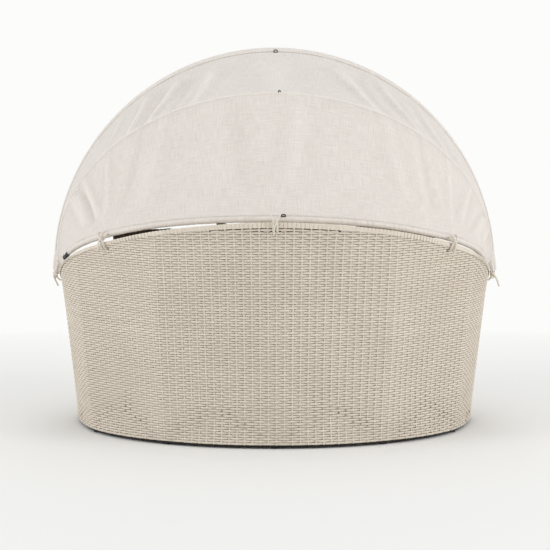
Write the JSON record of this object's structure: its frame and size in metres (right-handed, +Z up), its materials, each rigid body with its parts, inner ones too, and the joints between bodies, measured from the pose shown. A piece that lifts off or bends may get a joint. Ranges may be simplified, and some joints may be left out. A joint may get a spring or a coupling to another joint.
{
  "type": "outdoor daybed with canopy",
  "caption": "Round woven garden daybed in two halves, with deep seat cushions, pillows and a cloth hood that folds back on nested hoops.",
  "frame": {"origin": "on the floor, under the middle of the hinge line that the hood's hoops swing on", "axes": "+Z up; +Y towards the high back of the tub; +X along the hinge line, to the left in a view of the back and to the right for someone facing the back from the front"},
  "size_m": [1.8096, 1.7443, 1.5254],
  "materials": {
    "wicker": "satin",
    "dark_paint": "satin",
    "board": "matte",
    "plastic": "satin",
    "steel": "satin",
    "hood_cloth": "matte",
    "cord": "matte",
    "cushion_cloth": "matte",
    "pillow_cloth": "matte"
  },
  "bodies": {
    "rear_half": {"rear_foot_bar": "dark_paint", "rear_post_1": "dark_paint", "rear_post_2": "dark_paint", "rear_post_3": "dark_paint", "rear_post_4": "dark_paint", "rear_post_5": "dark_paint", "rear_post_6": "dark_paint", "rear_post_7": "dark_paint", "rim_tube": "dark_paint", "rear_seat_bar": "dark_paint", "seat_cross_bar_1": "dark_paint", "seat_cross_bar_2": "dark_paint", "rear_deck": "board", "rear_outer_weave": "wicker", "rear_inner_weave": "wicker", "rim_wrap": "wicker", "rear_front_panel": "wicker", "rear_foot_1": "plastic", "rear_foot_2": "plastic", "rear_foot_3": "plastic", "rear_foot_4": "plastic", "rear_foot_5": "plastic", "rear_foot_6": "plastic", "rear_foot_7": "plastic", "hinge_bracket_left": "steel", "hinge_bracket_right": "steel", "pivot_bolt_left": "steel", "pivot_bolt_right": "steel", "hem_hoop": "dark_paint", "hem_pocket": "hood_cloth", "hood_rear_panel": "hood_cloth", "tie_left_end": "cord", "tie_left": "cord", "tie_centre": "cord", "tie_right": "cord", "tie_right_end": "cord", "ring_hem": "plastic"},
    "middle_hoop": {"middle_hoop": "dark_paint", "hood_front_panel": "hood_cloth", "ring_ridge": "plastic"},
    "front_hoop": {"front_hoop": "dark_paint", "front_hoop_pocket": "hood_cloth", "ring_front": "plastic"},
    "front_half": {"front_foot_bar": "dark_paint", "front_seat_bar": "dark_paint", "front_post_1": "dark_paint", "front_post_2": "dark_paint", "front_post_3": "dark_paint", "front_post_4": "dark_paint", "front_weave": "wicker", "front_deck": "board", "front_foot_1": "plastic", "front_foot_2": "plastic", "front_foot_3": "plastic", "front_foot_4": "plastic"},
    "rear_cushion": {"rear_seat_cushion": "cushion_cloth"},
    "front_cushion": {"front_seat_cushion": "cushion_cloth"},
    "left_pillow": {"pillow_left": "pillow_cloth"},
    "middle_pillow": {"pillow_middle": "pillow_cloth"},
    "right_pillow": {"pillow_right": "pillow_cloth"}
  },
  "joints": [
    {"name": "hood_fold", "type": "hinge", "parent": "rear_half", "child": "middle_hoop", "pos_m": [0, 0, 0.609], "axis": [-1, 0, 0], "range_deg": [0, 29], "deforming": ["hood_rear_panel"]},
    {"name": "front_hoop_fold", "type": "hinge", "parent": "middle_hoop", "child": "front_hoop", "pos_m": [0, 0, 0.609], "axis": [-1, 0, 0], "range_deg": [0, 33.1], "deforming": ["hood_front_panel"]},
    {"name": "front_half_pull", "type": "slide", "parent": "rear_half", "child": "front_half", "axis": [0, -1, 0], "range_m": [0, 0.6]},
    {"name": "rear_cushion_lift", "type": "slide", "parent": "rear_half", "child": "rear_cushion", "axis": [0, 0, 1], "range_m": [0, 0.15]},
    {"name": "front_cushion_lift", "type": "slide", "parent": "front_half", "child": "front_cushion", "axis": [0, 0, 1], "range_m": [0, 0.2]},
    {"name": "left_pillow_pull", "type": "slide", "parent": "rear_cushion", "child": "left_pillow", "axis": [0, -0.8, 0.6], "range_m": [0, 0.2]},
    {"name": "middle_pillow_pull", "type": "slide", "parent": "rear_cushion", "child": "middle_pillow", "axis": [0, -0.8, 0.6], "range_m": [0, 0.2]},
    {"name": "right_pillow_pull", "type": "slide", "parent": "rear_cushion", "child": "right_pillow", "axis": [0, -0.8, 0.6], "range_m": [0, 0.2]}
  ],
  "couplings": [
    {"joint": "front_hoop_fold", "follows": "hood_fold", "ratio": 1.1379}
  ]
}
